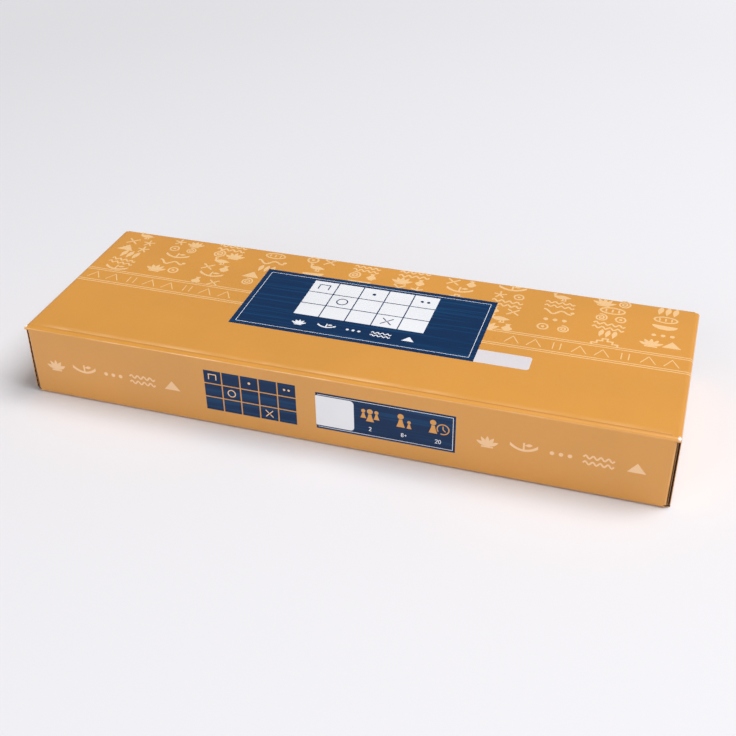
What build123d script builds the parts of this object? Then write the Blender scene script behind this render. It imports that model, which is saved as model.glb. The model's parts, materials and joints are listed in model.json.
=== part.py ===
"""Senet game box: a tuck-end carton of thin fluted board, packed with a wooden senet case.

Millimetres. +X runs along the carton, +Y towards its back, +Z up. The origin is the centre of the
footprint, on the surface that the carton stands on.

The carton is one die-cut sheet. Each panel between two creases is its own solid, and every fold is
split at its middle, so that each of the two panels carries half of it. A flap turns about the line
on the outside of its fold where the two halves meet.
"""
import os
from math import cos, radians, sin

from build123d import *

os.makedirs("parts", exist_ok=True)

# ---- carton ---------------------------------------------------------------------------------------
carton_length = 368.0
carton_width = 125.0
carton_height = 45.0
board = 1.6  # thickness of the fluted board
slip = 0.3  # air between layers of board that slide on each other

sleeve_fold = 0.6  # inner radius of the long folds
end_fold = 1.4  # inner radius of the fold from the top into each end closure
dust_fold = 0.6  # inner radius of the folds of the dust flaps
tuck_fold = 0.6  # inner radius of the folds of the tuck flaps

closure_side_gap = 0.5  # a closure stops this far inside the sleeve's faces
tuck_side_gap = 4.5  # and a tuck flap this far
tuck_reach = 13.5  # from the carton's end to a tuck flap's tip
tuck_lean = 14.0  # degrees that a tuck flap rises towards its tip
tuck_corner = 8.0
tuck_slot = 4.0  # height over the bottom panel that the dust flaps leave free

dust_reach = 42.0  # from the outer face that a dust flap folds from to its tip
dust_drop = 1.2  # from the underside of the top to a dust flap's upper edge
dust_taper = 0.5  # fall of that edge along the flap
dust_corner = 4.0
dust_step = 1.5  # length of the step in a dust flap's lower edge

glue_flap_height = 16.0
glue_flap_setback = 12.0  # from the carton's end
glue_flap_bevel = 6.0

# ---- wooden case ------------------------------------------------------------------------------------
case_end_gap = 2.5  # from a tuck flap's tip
case_side_gap = 5.5  # from the carton's outer face
headroom = 1.0  # over the leaflet
case_wall = 6.0
case_base_thickness = 6.0
deck_thickness = 5.0
deck_rim = 9.0  # plain border around the squares
case_chamfer = 1.0
square_columns = 10
square_rows = 3
groove_width = 1.2
groove_depth = 0.8
dot_radius = 2.0
dot_pitch = 8.0
dotted_squares = {7: 3, 8: 2, 9: 1}  # dots in a square of the front row, by column
ring_square = 5
ring_radius = 8.0
ring_line = 2.0
cross_square = 6
cross_span = 16.0

# ---- drawer ---------------------------------------------------------------------------------------
drawer_clearance = 0.3
drawer_front_thickness = 6.0
drawer_board = 4.0  # sides and back
drawer_floor_thickness = 3.0
drawer_end_gap = 2.0  # from the drawer's back to the case's closed end
drawer_side_drop = 3.0  # from the top of its front to the top of its sides
thumb_notch = 9.0  # radius

# ---- playing pieces, throwing sticks and leaflet --------------------------------------------------------
pieces_per_player = 5
piece_radius = 9.0
piece_pitch = 26.0
piece_inset = 10.0  # from the drawer's front to the first piece
cone_height = 20.0
cone_crown = 3.0  # radius of the rounded tip
spool_height = 14.0
spool_rim = 3.0
spool_waist = 5.5  # radius

stick_count = 4
stick_length = 140.0
stick_width = 12.0
stick_height = 5.0
stick_inset = 6.0  # from the drawer's back

leaflet_length = 148.0
leaflet_width = 98.0
leaflet_thickness = 0.8
leaflet_corner = 1.5

# ---- shared lines ---------------------------------------------------------------------------------
half_length = carton_length / 2
half_width = carton_width / 2
sleeve_radius = sleeve_fold + board
end_radius = end_fold + board
dust_radius = dust_fold + board
tuck_radius = tuck_fold + board
inner_top = carton_height - board
crease_width = carton_width - 2 * sleeve_radius
crease_height = carton_height - 2 * sleeve_radius

dust_face = half_length - board - slip  # outer face of a closed dust flap
dust_root = half_width - dust_radius  # where a dust flap leaves its fold
dust_low = board + slip  # foot of its fold
dust_step_height = board + tuck_slot  # lower edge past the step
dust_top = inner_top - dust_drop
dust_tip_top = dust_top - dust_taper * (dust_reach - dust_radius)

closure_width = carton_width - 2 * closure_side_gap
tuck_width = carton_width - 2 * tuck_side_gap
tuck_turn = 90 + tuck_lean
tuck_rise = radians(tuck_lean)
tuck_run = (tuck_reach - tuck_radius - tuck_radius * sin(tuck_rise)) / cos(tuck_rise)

# centres of the folds, in the section that each is drawn in
top_fold = (half_width - sleeve_radius, carton_height - sleeve_radius)
top_front_fold = (-half_width + sleeve_radius, carton_height - sleeve_radius)
bottom_front_fold = (-half_width + sleeve_radius, sleeve_radius)
glue_fold = (half_width - board - sleeve_radius, sleeve_radius)
closure_fold = (half_length - end_radius, carton_height - end_radius)
tuck_flap_fold = (half_length - tuck_radius, board + slip + tuck_radius)
dust_flap_fold = (dust_face - dust_radius, -dust_root)
closure_foot = board + 2 * slip  # its lower corners, beside the tuck flap

case_length = carton_length - 2 * (tuck_reach + case_end_gap)
case_width = carton_width - 2 * case_side_gap
case_end = case_length / 2
case_side = case_width / 2
base_top = board + case_base_thickness
deck_top = inner_top - headroom - leaflet_thickness
deck_low = deck_top - deck_thickness
cavity_side = case_side - case_wall
square_length = (case_length - 2 * deck_rim) / square_columns
square_width = (case_width - 2 * deck_rim) / square_rows
square_centres = (square_columns - 1) / 2

drawer_side = cavity_side - drawer_clearance
drawer_inner_side = drawer_side - drawer_board
drawer_low = base_top + drawer_clearance
drawer_top = deck_low - drawer_clearance
drawer_side_top = drawer_top - drawer_side_drop
drawer_bed = drawer_low + drawer_floor_thickness
drawer_inner_front = case_end - drawer_front_thickness
drawer_back = -case_end + case_wall + drawer_end_gap
drawer_inner_back = drawer_back + drawer_board
first_piece = drawer_inner_front - piece_inset - piece_radius
piece_row = drawer_inner_side / 2  # from the middle of the drawer to each player's row
first_stick = drawer_inner_back + stick_inset
stick_pitch = 2 * drawer_inner_side / stick_count


def keep(piece, name):
    """Name a finished piece and write it as its own STEP file."""
    piece.part.label = name
    export_step(piece.part, f"parts/{name}.step")


def mirrored(piece, plane):
    """The same piece on the other side of a plane."""
    with BuildPart() as twin:
        mirror(piece.part, about=plane)
    return twin


def on_fold(centre, radius, angle):
    """The point of a fold, in the middle of the board, at an angle seen from the fold's centre."""
    reach = radius - board / 2
    return (centre[0] + reach * cos(radians(angle)), centre[1] + reach * sin(radians(angle)))


def trace_board(start, heading, *steps):
    """Section of a strip of board. A step is a flat length, or a fold: its angle and outer radius."""
    point = Vector(*start)
    direction = Vector(1, 0).rotate(Axis.Z, heading)
    with BuildLine() as middle:
        for step in steps:
            if isinstance(step, tuple):
                angle, radius = step
                stretch = JernArc(point, direction, radius - board / 2, angle)
            else:
                stretch = Line(point, point + direction * step)
            point, direction = stretch @ 1, stretch % 1
    trace(middle.line, line_width=board)


def block(x, y, z):
    """A block between a lowest and a highest value of each coordinate."""
    with BuildSketch(Plane.XY.offset(z[0])) as footprint:
        with Locations(((x[0] + x[1]) / 2, (y[0] + y[1]) / 2)):
            Rectangle(x[1] - x[0], y[1] - y[0])
    extrude(footprint.sketch, amount=z[1] - z[0])


def limited(radius, edge):
    """A corner radius that leaves a straight stretch between two corners of a short edge."""
    return min(radius, edge * 0.45)


# ---- sleeve: four panels and the glue flap --------------------------------------------------------------
with BuildPart() as top_panel:
    with BuildSketch(Plane.YZ):
        start = on_fold(top_front_fold, sleeve_radius, 135)
        trace_board(start, 45, (-45, sleeve_radius), crease_width, (-45, sleeve_radius))
    extrude(amount=closure_fold[0], both=True)
    with BuildSketch(Plane.XZ):
        trace_board((closure_fold[0], carton_height - board / 2), 0, (-45, end_radius))
        mirror(about=Plane.YZ)
    extrude(amount=crease_width / 2, both=True)
keep(top_panel, "top_panel")

with BuildPart() as front_panel:
    with BuildSketch(Plane.YZ):
        start = on_fold(top_front_fold, sleeve_radius, 135)
        trace_board(start, 225, (45, sleeve_radius), crease_height, (45, sleeve_radius))
    extrude(amount=dust_flap_fold[0], both=True)
    with BuildSketch(Plane.XY.offset(sleeve_radius)):
        trace_board((dust_flap_fold[0], -half_width + board / 2), 0, (45, dust_radius))
        mirror(about=Plane.YZ)
    extrude(amount=crease_height)
keep(front_panel, "front_panel")

with BuildPart() as bottom_panel:
    with BuildSketch(Plane.YZ):
        start = on_fold(bottom_front_fold, sleeve_radius, 225)
        flat = glue_fold[0] - bottom_front_fold[0]
        trace_board(start, 315, (45, sleeve_radius), flat, (45, sleeve_radius))
    extrude(amount=half_length, both=True)
keep(bottom_panel, "bottom_panel")

with BuildPart() as back_panel:
    with BuildSketch(Plane.YZ):
        start = on_fold(top_fold, sleeve_radius, 45)
        trace_board(start, 315, (-45, sleeve_radius), carton_height - sleeve_radius)
    extrude(amount=dust_flap_fold[0], both=True)
    with BuildSketch(Plane.XY.offset(dust_low)):
        trace_board((dust_flap_fold[0], half_width - board / 2), 0, (-45, dust_radius))
        mirror(about=Plane.YZ)
    extrude(amount=carton_height - sleeve_radius - dust_low)
keep(back_panel, "back_panel")

with BuildPart() as glue_flap:
    with BuildSketch(Plane.YZ):
        start = on_fold(glue_fold, sleeve_radius, 315)
        trace_board(start, 45, (45, sleeve_radius), glue_flap_height - sleeve_radius)
    extrude(amount=half_length - glue_flap_setback, both=True)
    chamfer(glue_flap.edges().filter_by(Axis.Y).group_by(Axis.Z)[-1], glue_flap_bevel)
keep(glue_flap, "glue_flap")

# ---- ends: a closure, its tuck flap and two dust flaps ------------------------------------------------------
with BuildPart() as right_closure:
    with BuildSketch(Plane.XZ):
        start = on_fold(closure_fold, end_radius, 45)
        trace_board(start, 315, (-45, end_radius))
    extrude(amount=crease_width / 2, both=True)
    with BuildSketch(Plane.YZ.offset(half_length - board)):
        plate_height = closure_fold[1] - closure_foot
        with Locations((0, closure_foot)):
            Rectangle(closure_width, plate_height, align=(Align.CENTER, Align.MIN))
            notch_height = tuck_flap_fold[1] - closure_foot
            Rectangle(tuck_width, notch_height, align=(Align.CENTER, Align.MIN), mode=Mode.SUBTRACT)
    extrude(amount=board)
    with BuildSketch(Plane.XZ):
        start = on_fold(tuck_flap_fold, tuck_radius, 0)
        trace_board(start, 270, (-tuck_turn / 2, tuck_radius))
    extrude(amount=tuck_width / 2, both=True)
keep(right_closure, "right_closure")

with BuildPart() as right_tuck_flap:
    with BuildSketch(Plane.XZ):
        start = on_fold(tuck_flap_fold, tuck_radius, -tuck_turn / 2)
        trace_board(start, 270 - tuck_turn / 2, (-tuck_turn / 2, tuck_radius))
    extrude(amount=tuck_width / 2, both=True)
    x, z = on_fold(tuck_flap_fold, tuck_radius, -tuck_turn)
    along = (-cos(tuck_rise), 0, sin(tuck_rise))
    across = (-sin(tuck_rise), 0, -cos(tuck_rise))
    with BuildSketch(Plane(origin=(x, 0, z), x_dir=along, z_dir=across)) as tuck_outline:
        Rectangle(tuck_run, tuck_width, align=(Align.MIN, Align.CENTER))
        fillet(tuck_outline.vertices().group_by(Axis.X)[-1], limited(tuck_corner, 2 * tuck_run))
    extrude(amount=board / 2, both=True)
keep(right_tuck_flap, "right_tuck_flap")

with BuildPart() as right_front_dust_flap:
    with BuildSketch(Plane.XY.offset(dust_low)):
        trace_board(on_fold(dust_flap_fold, dust_radius, -45), 45, (45, dust_radius))
    extrude(amount=dust_top - dust_low)
    with BuildSketch(Plane.YZ.offset(dust_face - board)) as dust_outline:
        tip = dust_reach - half_width
        with BuildLine():
            Polyline(
                (-dust_root, dust_low),
                (-dust_root + dust_step, dust_step_height),
                (tip, dust_step_height),
                (tip, dust_tip_top),
                (-dust_root, dust_top),
                close=True,
            )
        make_face()
        tip_corner = limited(dust_corner, dust_tip_top - dust_step_height)
        fillet(dust_outline.vertices().group_by(Axis.X)[-1], tip_corner)
    extrude(amount=board)
keep(right_front_dust_flap, "right_front_dust_flap")

right_back_dust_flap = mirrored(right_front_dust_flap, Plane.XZ)
keep(right_back_dust_flap, "right_back_dust_flap")
keep(mirrored(right_closure, Plane.YZ), "left_closure")
keep(mirrored(right_tuck_flap, Plane.YZ), "left_tuck_flap")
keep(mirrored(right_front_dust_flap, Plane.YZ), "left_front_dust_flap")
keep(mirrored(right_back_dust_flap, Plane.YZ), "left_back_dust_flap")

# ---- wooden case: base, three walls and the playing deck ----------------------------------------------------
with BuildPart() as case_base:
    block((-case_end, case_end), (-case_side, case_side), (board, base_top))
    chamfer(case_base.edges().filter_by(Axis.Z), case_chamfer)
keep(case_base, "case_base")

with BuildPart() as case_front_wall:
    block((-case_end, case_end), (-case_side, -cavity_side), (base_top, deck_low))
    chamfer(case_front_wall.edges().filter_by(Axis.Z).group_by(Axis.Y)[0], case_chamfer)
keep(case_front_wall, "case_front_wall")
keep(mirrored(case_front_wall, Plane.XZ), "case_back_wall")

with BuildPart() as case_end_wall:
    block((-case_end, -case_end + case_wall), (-cavity_side, cavity_side), (base_top, deck_low))
keep(case_end_wall, "case_end_wall")

with BuildPart() as case_deck:
    block((-case_end, case_end), (-case_side, case_side), (deck_low, deck_top))
    chamfer(case_deck.edges().filter_by(Axis.Z), case_chamfer)
    chamfer(case_deck.edges().group_by(Axis.Z)[-1], case_chamfer)
    with BuildSketch(Plane.XY.offset(deck_top)):
        with GridLocations(square_length, 0, square_columns + 1, 1):
            Rectangle(groove_width, square_rows * square_width + groove_width)
        with GridLocations(0, square_width, 1, square_rows + 1):
            Rectangle(square_columns * square_length + groove_width, groove_width)
        for column, dots in dotted_squares.items():
            with Locations(((column - square_centres) * square_length, -square_width)):
                with GridLocations(dot_pitch, 0, dots, 1):
                    Circle(dot_radius)
        with Locations(((ring_square - square_centres) * square_length, -square_width)):
            Circle(ring_radius)
            Circle(ring_radius - ring_line, mode=Mode.SUBTRACT)
        with Locations(((cross_square - square_centres) * square_length, -square_width)):
            Rectangle(cross_span, ring_line, rotation=45)
            Rectangle(cross_span, ring_line, rotation=-45)
    extrude(amount=-groove_depth, mode=Mode.SUBTRACT)
keep(case_deck, "case_deck")

# ---- drawer, which runs out of the case's right end ---------------------------------------------------------
with BuildPart() as drawer_front:
    block((drawer_inner_front, case_end), (-drawer_side, drawer_side), (drawer_low, drawer_top))
    with BuildSketch(Plane.YZ.offset(case_end)):
        with Locations((0, drawer_top)):
            Circle(thumb_notch)
    extrude(amount=-drawer_front_thickness, mode=Mode.SUBTRACT)
keep(drawer_front, "drawer_front")

with BuildPart() as drawer_front_side:
    side_y = (-drawer_side, -drawer_inner_side)
    block((drawer_back, drawer_inner_front), side_y, (drawer_low, drawer_side_top))
keep(drawer_front_side, "drawer_front_side")
keep(mirrored(drawer_front_side, Plane.XZ), "drawer_back_side")

inner_y = (-drawer_inner_side, drawer_inner_side)

with BuildPart() as drawer_end:
    block((drawer_back, drawer_inner_back), inner_y, (drawer_low, drawer_side_top))
keep(drawer_end, "drawer_end")

with BuildPart() as drawer_floor:
    block((drawer_inner_back, drawer_inner_front), inner_y, (drawer_low, drawer_bed))
keep(drawer_floor, "drawer_floor")


# ---- what lies in the drawer, and the leaflet on the deck ---------------------------------------------------
def upright(x, y):
    """A vertical plane along X through a place on the drawer's floor."""
    return Plane(origin=(x, y, drawer_bed), x_dir=(1, 0, 0), z_dir=(0, -1, 0))


for index in range(pieces_per_player):
    place = first_piece - index * piece_pitch

    with BuildPart() as cone:
        with BuildSketch(upright(place, -piece_row)):
            with BuildLine():
                flank = Line((piece_radius, 0), (cone_crown, cone_height - cone_crown))
                crown = RadiusArc(flank @ 1, (0, cone_height), -cone_crown)
                Polyline(crown @ 1, (0, 0), flank @ 0)
            make_face()
        revolve(axis=Axis((place, -piece_row, 0), (0, 0, 1)))
    keep(cone, f"cone_{index + 1}")

    with BuildPart() as spool:
        with BuildSketch(upright(place, piece_row)):
            with BuildLine():
                foot = Line((piece_radius, 0), (piece_radius, spool_rim))
                head = Line((piece_radius, spool_height - spool_rim), (piece_radius, spool_height))
                ThreePointArc(foot @ 1, (spool_waist, spool_height / 2), head @ 0)
                Polyline(head @ 1, (0, spool_height), (0, 0), foot @ 0)
            make_face()
        revolve(axis=Axis((place, piece_row, 0), (0, 0, 1)))
    keep(spool, f"spool_{index + 1}")

for index in range(stick_count):
    lane = (index - (stick_count - 1) / 2) * stick_pitch
    with BuildPart() as stick:
        with BuildSketch(Plane.YZ.offset(first_stick)):
            with BuildLine():
                left, right = (lane - stick_width / 2, drawer_bed), (lane + stick_width / 2, drawer_bed)
                ThreePointArc(left, (lane, drawer_bed + stick_height), right)
                Line(right, left)
            make_face()
        extrude(amount=stick_length)
        with BuildSketch(Plane.XY.offset(drawer_bed)):
            with Locations((first_stick + stick_length / 2, lane)):
                SlotOverall(stick_length, stick_width)
        extrude(amount=stick_height, mode=Mode.INTERSECT)
    keep(stick, f"throwing_stick_{index + 1}")

with BuildPart() as rules_leaflet:
    with BuildSketch(Plane.XY.offset(deck_top)):
        RectangleRounded(leaflet_length, leaflet_width, leaflet_corner)
    extrude(amount=leaflet_thickness)
keep(rules_leaflet, "rules_leaflet")
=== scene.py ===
"""Looks of a senet game box: a tuck-end carton of printed fluted board round a wooden senet case.

Shapes are worked out in millimetres, in the frame of the solids: +X along the carton, +Y to its back,
+Z up. Every piece of board is three closed shells, the printed liner, the wavy fluting and the brown
inner liner, carried along a section of flats and folds. Print is thin plates of ink on the board.
"""
import json
import math

import bpy
import numpy as np
from mathutils import Matrix, Vector

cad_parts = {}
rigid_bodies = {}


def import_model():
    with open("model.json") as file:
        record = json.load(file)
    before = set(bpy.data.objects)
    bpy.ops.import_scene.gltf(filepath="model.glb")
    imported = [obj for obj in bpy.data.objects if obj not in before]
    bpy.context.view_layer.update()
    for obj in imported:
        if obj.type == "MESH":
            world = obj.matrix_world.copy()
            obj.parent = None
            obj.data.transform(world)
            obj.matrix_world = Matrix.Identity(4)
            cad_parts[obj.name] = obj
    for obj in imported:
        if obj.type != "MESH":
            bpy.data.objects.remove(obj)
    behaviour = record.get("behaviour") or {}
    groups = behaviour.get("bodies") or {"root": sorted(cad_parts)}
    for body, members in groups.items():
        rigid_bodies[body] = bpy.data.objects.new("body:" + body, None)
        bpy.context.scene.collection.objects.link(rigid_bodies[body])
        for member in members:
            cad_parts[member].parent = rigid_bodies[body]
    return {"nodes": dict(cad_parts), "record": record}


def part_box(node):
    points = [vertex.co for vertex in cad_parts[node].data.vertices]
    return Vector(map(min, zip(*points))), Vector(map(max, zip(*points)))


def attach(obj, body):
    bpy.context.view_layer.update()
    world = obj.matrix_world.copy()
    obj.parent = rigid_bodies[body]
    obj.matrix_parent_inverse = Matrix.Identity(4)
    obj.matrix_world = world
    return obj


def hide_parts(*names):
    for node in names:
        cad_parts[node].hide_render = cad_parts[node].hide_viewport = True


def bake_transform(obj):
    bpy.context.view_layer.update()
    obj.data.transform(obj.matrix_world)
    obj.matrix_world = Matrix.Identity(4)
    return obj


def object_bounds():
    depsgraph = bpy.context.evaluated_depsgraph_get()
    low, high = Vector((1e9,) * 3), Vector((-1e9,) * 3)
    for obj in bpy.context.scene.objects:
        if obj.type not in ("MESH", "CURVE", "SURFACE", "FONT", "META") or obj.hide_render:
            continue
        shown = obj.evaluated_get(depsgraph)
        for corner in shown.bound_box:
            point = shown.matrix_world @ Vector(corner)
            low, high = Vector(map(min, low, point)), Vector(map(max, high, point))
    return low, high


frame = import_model()
solid_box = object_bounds()

# ---- sizes, in mm ---------------------------------------------------------------------------------
MM = 0.001
half_length, half_width, height = (value / MM for value in solid_box[1])
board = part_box("case_base")[0].z / MM
SLEEVE_RADIUS = 2.2  # outer radius of the sleeve's long folds
TUCK_RADIUS = 2.2
DUST_RADIUS = 1.8
TIGHT, GENTLE = (68, 1.75), (22, 4.6)  # a crushed fold's two arcs: degrees and outer radius
CLOSURE_HALF = half_width - SLEEVE_RADIUS  # half of a closure's width at its fold
CLOSURE_SPREAD = 1.1  # a closure is this much wider at its foot, to each side
EAR = 2.4  # the top front fold runs out this far over the closure's fold
EAR_FADE = (0.965, 0.99)  # it ends between these upward parts of its outward direction
SEAM = 2.0  # the sleeve stops this far before a fold that a flap carries
GLUE_FLAP_HEIGHT = 16.0
GLUE_FLAP_BEVEL = 6.0
DUST_STEP = 1.5
DUST_RISE = 3.7  # the step's height
DUST_SLOPE = 0.5  # fall of the upper edge for its length
SHOULDER_GAP = 0.15
SLIP = 0.3  # air between layers of board
DUST_CORNER = 4.0
TUCK_CORNER = 8.0
TUCK_LEAN = 14.0  # degrees

FACE_DEPTH = 0.06  # the printed face lies this far inside the solid's
INK_DEPTH = 0.03
INK_BACK = 0.07
LAYER_LIFT = 0.009  # ink over ink, and strokes of one ink over each other
STROKE_LIFT = 0.0015
STROKE_LEVELS = 5
LINER = 0.3
FLUTING = 0.2  # thickness of the wavy sheet
FLUTE_PITCH = 3.3
FOLD_STATIONS = 15
WAVE_STATIONS = 5  # to each wave of the sleeve's fluting
PALE_FOLD_WIDTH = 0.11  # half width of the pale line on a fold, part wear and part painted highlight, as a part of the fold
NEAR_FOLD = 0.05  # a flat's first and last stations lie this close to the folds beside it
FADE = 0.7  # and the next ones this close
PANEL_PITCH = 4.0  # between stations of a panel
FLAP_PITCH = 0.4  # of a flap
FLAP_COLUMNS = 32
DUST_COLUMNS = 12
SHOULDER_COLUMNS = 4
CREASE_STATIONS = 21
COARSE_PITCH = 3 * PANEL_PITCH  # of the sleeve's fluting, whose waves take many faces
COARSE_FOLD_STATIONS = FOLD_STATIONS // 3
COARSE_CREASE_STATIONS = 9

TOP_SAG = 0.25
SIDE_BOW = 0.2
CREASE_PLACE = 3.1  # the second crease lies this far behind the front
CREASE_DEPTH = 0.3
CREASE_WIDTH = 0.32
CREASE_LEFT = 0.6  # its strength at the left
LIP = 0.85  # a painted highlight, for light on the groove's far slope, lies this far behind the second crease
CREASE_MARK_DEPTH = 1.0  # the second crease's painted shade and painted highlight mark what lies this far under the top
SHARP_ANGLE = 40  # degrees at which an edge is shaded sharp

# ---- sections of board ----------------------------------------------------------------------------
X, Y, Z = np.eye(3)


def unit(angle):
    """Directions at angles in radians."""
    return np.stack([np.cos(angle), np.sin(angle)], axis=-1)


def fold_reach(*arcs):
    """How far a fold of arcs goes along the face before it, and along the face after it.

    Each arc from angle a to b adds radius * (sin b - sin a) and radius * (cos a - cos b).
    """
    along = down = turned = 0.0
    for turn, radius in arcs:
        before, turned = turned, turned + math.radians(turn)
        along += radius * (math.sin(turned) - math.sin(before))
        down += radius * (math.cos(before) - math.cos(turned))
    return along, down


def smooth(value):
    """0 below 0, 1 above 1, and 3 v^2 - 2 v^3 between."""
    value = np.clip(value, 0, 1)
    return value * value * (3 - 2 * value)


def flat(length, pitch=PANEL_PITCH, extra=()):
    """Stations of a flat stretch: even ones, two near each end, and any extra ones."""
    even = np.linspace(0, length, max(2, round(length / pitch)) + 1)[1:]
    near = np.array([NEAR_FOLD, FADE])
    stations = np.concatenate([even, near, length - near, extra])
    return np.unique(stations[(stations > 0) & (stations <= length)].round(4))


class Strip:
    """A strip of board. Its section runs along flats, and folds that turn it clockwise.

    A step is the stations of a flat, or a fold's angle in degrees and outer radius. On a fold, the
    outward direction n turns evenly, and the outer face lies at the fold's centre + radius * n. Any
    place in the strip is the face's place - depth * n, moved sideways along the third axis.
    """

    def __init__(self, start, heading, steps, axes, fold_stations=FOLD_STATIONS):
        place, angle = np.array(start, float), math.radians(heading)
        places, outs, bends, numbers = [place[None]], [unit(angle + math.pi / 2)[None]], [[0.0]], [[0]]
        for number, step in enumerate(steps):
            out = unit(angle + math.pi / 2)
            if isinstance(step, tuple):
                turn, radius = step
                angles = angle - math.radians(turn) * np.linspace(0, 1, fold_stations + 1)[1:]
                turned = unit(angles + math.pi / 2)
                reached = place - radius * out + radius * turned
                angle = angles[-1]
            else:
                turned = np.repeat(out[None], len(step), axis=0)
                reached = place + step[:, None] * unit(angle)
            turn_done = np.linspace(0, 1, len(reached) + 1)[1:]
            bell = np.exp(-(((turn_done - 0.5) / PALE_FOLD_WIDTH) ** 2))
            place = reached[-1]
            places.append(reached)
            outs.append(turned)
            bends.append(bell if isinstance(step, tuple) and step != GENTLE else 0 * bell)
            numbers.append([number] * len(reached))
        self.places, self.outs = np.concatenate(places), np.concatenate(outs)
        self.bend, self.step = np.concatenate(bends), np.concatenate(numbers)
        gaps = np.linalg.norm(np.diff(self.places, axis=0), axis=1)
        self.run = np.concatenate([[0.0], np.cumsum(gaps)])
        self.axes = axes

    def before_end(self):
        """Distance that is left to the strip's end."""
        return self.run[-1] - self.run

    def across(self, low, high, count):
        """Sideways places in even columns between two limits, which may change along the strip."""
        low, high = np.broadcast_to(low, self.run.shape), np.broadcast_to(high, self.run.shape)
        return low[:, None] + (high - low)[:, None] * np.linspace(0, 1, count)

    def grid(self, across, depth):
        """Places at a depth under the outer face."""
        depth = np.broadcast_to(depth, across.shape)[..., None]
        u, v = np.moveaxis(self.places[:, None] - depth * self.outs[:, None], -1, 0)
        first, second, third = self.axes
        return settled(u[..., None] * first + v[..., None] * second + across[..., None] * third)


def crease_at(x, y):
    """Strength of the second crease: a bell curve behind the front fold, weaker towards the left."""
    strength = CREASE_LEFT + (1 - CREASE_LEFT) * smooth((x + 20) / 90)
    strength = strength * smooth((x + half_length) / 30) * smooth((half_length - x) / 2)
    return strength * np.exp(-(((y + half_width - CREASE_PLACE) / CREASE_WIDTH) ** 2))


def settled(place):
    """Places on the carton moved as used board is.

    The top sags by cos * cos of its length and width, the front and back bow in by cos * sin, and the
    second crease is a groove behind the front fold, a bell curve across.
    """
    place = np.array(place, float)
    x, y, z = np.moveaxis(place.copy(), -1, 0)
    along = np.cos(math.pi / 2 * np.clip(x / half_length, -1, 1))
    upper = z > height / 2
    sag = TOP_SAG * along * np.cos(math.pi / 2 * np.clip(y / half_width, -1, 1))
    place[..., 2] -= np.where(upper, sag + CREASE_DEPTH * crease_at(x, y), 0)
    bow = SIDE_BOW * along * np.sin(math.pi * np.clip(z / height, 0, 1))
    side = np.abs(y) > half_width - 2 * board - SLIP
    place[..., 1] -= np.where(side, np.sign(y) * bow, 0)
    return place


def rounded(distance, radius):
    """How far an edge draws in near a rounded corner: radius - sqrt(radius^2 - (radius - d)^2)."""
    left = np.clip(radius - distance, 0, radius)
    return radius - np.sqrt(radius * radius - left * left)


# ---- meshes ---------------------------------------------------------------------------------------
def shell(top, bottom, closed=False):
    """A closed shell between two grids of places, with rims all round, or a ring if it is closed.

    Returns places and four-cornered faces. They are turned over if the signed volume, the sum of
    a . (b x c) over the faces' triangles, is negative, so that they point outwards.
    """
    rows, columns = top.shape[:2]
    index = np.arange(rows * columns).reshape(rows, columns)
    if closed:
        index = np.vstack([index, index[:1]])
        edges = [index[:, 0], index[::-1, -1]]
    else:
        ring = [index[:-1, 0], index[-1, :-1], index[:0:-1, -1], index[0, :0:-1], index[:1, 0]]
        edges = [np.concatenate(ring)]
    over = np.stack([index[:-1, :-1], index[1:, :-1], index[1:, 1:], index[:-1, 1:]], axis=-1)
    over = over.reshape(-1, 4)
    under = rows * columns
    faces = [over, over[:, ::-1] + under]
    for edge in edges:
        p, q = edge[:-1], edge[1:]
        faces.append(np.stack([q, p, p + under, q + under], axis=-1))
    faces = np.concatenate(faces)
    places = np.concatenate([top.reshape(-1, 3), bottom.reshape(-1, 3)])
    a, b, c, d = (places[faces[:, i]] for i in range(4))
    volume = np.einsum("ij,ij", a, np.cross(b, c)) + np.einsum("ij,ij", a, np.cross(c, d))
    return places, faces if volume > 0 else faces[:, ::-1]


def make_piece(name, finishes, shells, bends=()):
    """One mesh of closed shells, each with the number of its finish, in metres.

    It keeps three attributes: rest_place, its places at rest, which patterns follow; bend, which is 1
    on a fold's pale line of wear and painted highlight and on the painted highlight behind the second
    crease; and crease, which is 1 in the second crease, where shade is painted.
    """
    places, faces, numbers, start = [], [], [], 0
    for shell_places, shell_faces, number in shells:
        places.append(shell_places)
        faces.append(shell_faces + start)
        numbers.append(np.full(len(shell_faces), number))
        start += len(shell_places)
    places = np.concatenate(places) * MM
    mesh = bpy.data.meshes.new(name)
    mesh.from_pydata(places.tolist(), [], np.concatenate(faces).tolist())
    mesh.polygons.foreach_set("material_index", np.concatenate(numbers).astype(np.int32))
    mesh.shade_smooth()
    mesh.set_sharp_from_angle(angle=math.radians(SHARP_ANGLE))
    rest = mesh.attributes.new("rest_place", "FLOAT_VECTOR", "POINT")
    rest.data.foreach_set("vector", places.astype(np.float32).ravel())
    wear_and_painted_light = np.zeros((2, len(places)), np.float32)
    wear_and_painted_light[0, :len(bends)] = bends
    x, y, z = places.T / MM
    upper = z > height - CREASE_MARK_DEPTH
    # bend takes the painted highlight just behind the second crease; crease marks its painted shade
    wear_and_painted_light[0] = np.maximum(wear_and_painted_light[0], np.where(upper, crease_at(x, y - LIP), 0))
    wear_and_painted_light[1] = np.where(upper, crease_at(x, y), 0)
    for kind, values in zip(("bend", "crease"), wear_and_painted_light):
        mesh.attributes.new(kind, "FLOAT", "POINT").data.foreach_set("value", values)
    for finish in finishes:
        mesh.materials.append(finish.material)
    piece = bpy.data.objects.new(name, mesh)
    bpy.context.scene.collection.objects.link(piece)
    return piece


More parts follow.
